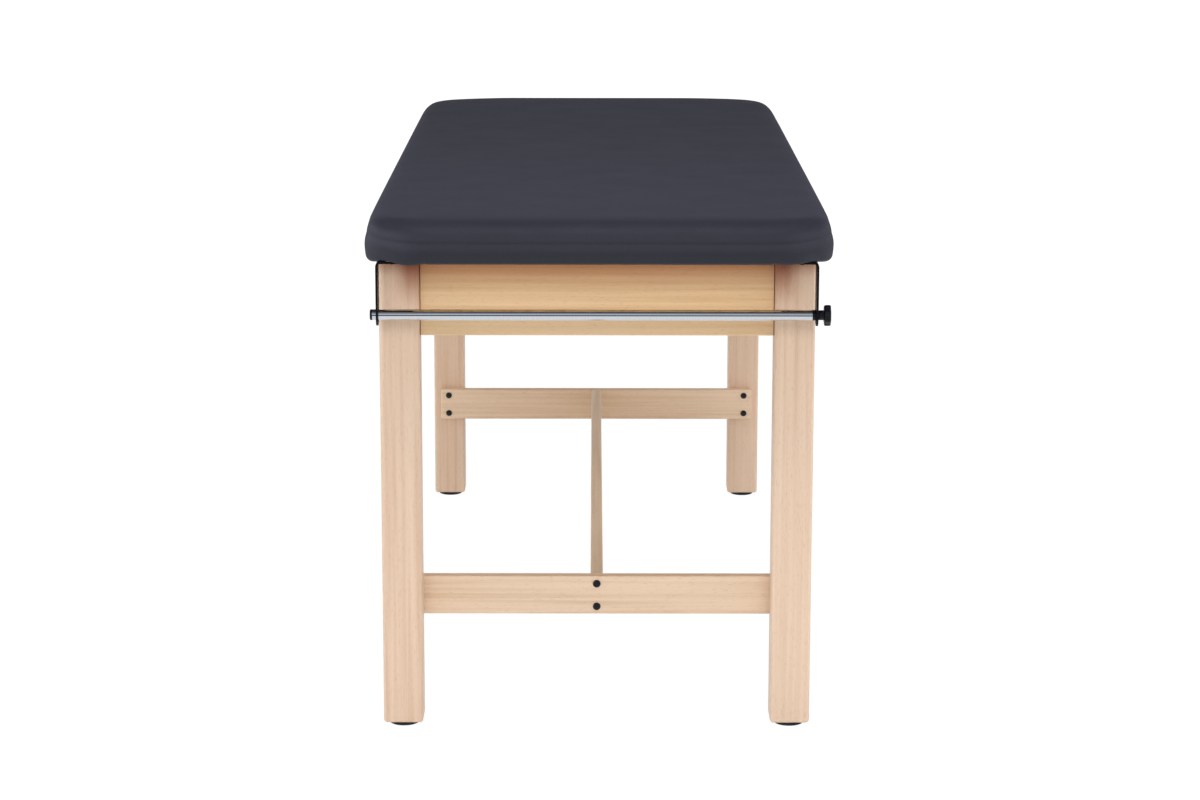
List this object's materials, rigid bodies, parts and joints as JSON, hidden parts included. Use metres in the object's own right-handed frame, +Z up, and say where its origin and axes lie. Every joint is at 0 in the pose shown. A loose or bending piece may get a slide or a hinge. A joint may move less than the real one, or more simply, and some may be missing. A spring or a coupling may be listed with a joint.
{
  "type": "padded treatment table",
  "caption": "Free-standing examination table: padded vinyl top on four square beech legs with an H-brace, and a paper-roll rod with a clamping knob at one end.",
  "frame": {"origin": "on the floor under the middle of the top, the bottom centre of the whole object", "axes": "+X to the right across the table as seen from the roll-holder end, +Y along the table away from the roll holder, +Z up"},
  "size_m": [0.686, 1.829, 0.794],
  "materials": {
    "beech": "clear satin lacquer on steamed beech",
    "plywood": "sanded birch plywood, bare",
    "vinyl": "smooth charcoal upholstery vinyl, satin",
    "foam": "open-cell upholstery foam",
    "black_steel": "black powder coat or black oxide, semi-gloss",
    "chrome": "polished chrome plate",
    "black_plastic": "moulded, fine satin",
    "rubber": "moulded, matt",
    "zinc_steel": "bright zinc plate"
  },
  "bodies": {
    "frame": {"deck_board": "plywood", "deck_cross_rail": "beech", "foam_pad": "foam", "front_apron": "beech", "front_barrel_nut_lower": "zinc_steel", "front_barrel_nut_upper": "zinc_steel", "front_brace_screw_lower": "black_steel", "front_brace_screw_upper": "black_steel", "front_left_corner_block": "beech", "front_left_corner_bolt": "zinc_steel", "front_left_deck_screw": "zinc_steel", "front_left_foot": "rubber", "front_left_leg": "beech", "front_left_leg_screw_lower": "black_steel", "front_left_leg_screw_upper": "black_steel", "front_right_corner_block": "beech", "front_right_corner_bolt": "zinc_steel", "front_right_deck_screw": "zinc_steel", "front_right_foot": "rubber", "front_right_leg": "beech", "front_right_leg_screw_lower": "black_steel", "front_right_leg_screw_upper": "black_steel", "front_stretcher": "beech", "left_bracket_screw_inner": "black_steel", "left_bracket_screw_outer": "black_steel", "left_roll_bracket": "black_steel", "left_side_apron": "beech", "long_brace": "beech", "rear_apron": "beech", "rear_barrel_nut_lower": "zinc_steel", "rear_barrel_nut_upper": "zinc_steel", "rear_brace_screw_lower": "black_steel", "rear_brace_screw_upper": "black_steel", "rear_left_corner_block": "beech", "rear_left_corner_bolt": "zinc_steel", "rear_left_deck_screw": "zinc_steel", "rear_left_foot": "rubber", "rear_left_leg": "beech", "rear_left_leg_screw_lower": "black_steel", "rear_left_leg_screw_upper": "black_steel", "rear_right_corner_block": "beech", "rear_right_corner_bolt": "zinc_steel", "rear_right_deck_screw": "zinc_steel", "rear_right_foot": "rubber", "rear_right_leg": "beech", "rear_right_leg_screw_lower": "black_steel", "rear_right_leg_screw_upper": "black_steel", "rear_stretcher": "beech", "right_bracket_screw_inner": "black_steel", "right_bracket_screw_outer": "black_steel", "right_roll_bracket": "black_steel", "right_side_apron": "beech", "vinyl_cover": "vinyl"},
    "rod": {"roll_rod": "chrome", "rod_end_cap": "black_plastic", "rod_threaded_insert": "black_plastic"},
    "washer": {"knob_washer": "zinc_steel"},
    "knob": {"clamp_knob": "black_plastic", "knob_stud": "zinc_steel"}
  },
  "joints": [
    {"name": "rod_withdraw", "type": "slide", "parent": "frame", "child": "rod", "axis": [-1, 0, 0], "range_m": [0, 0.62]},
    {"name": "knob_travel", "type": "slide", "parent": "frame", "child": "washer", "axis": [1, 0, 0], "range_m": [0, 0.0152]},
    {"name": "knob_turn", "type": "hinge", "parent": "washer", "child": "knob", "pos_m": [0.3258, -0.868, 0.6504], "axis": [1, 0, 0], "range_deg": [0, 4320]}
  ],
  "couplings": [
    {"joint": "knob_travel", "follows": "knob_turn", "m_per_rad": 0.00019894}
  ]
}
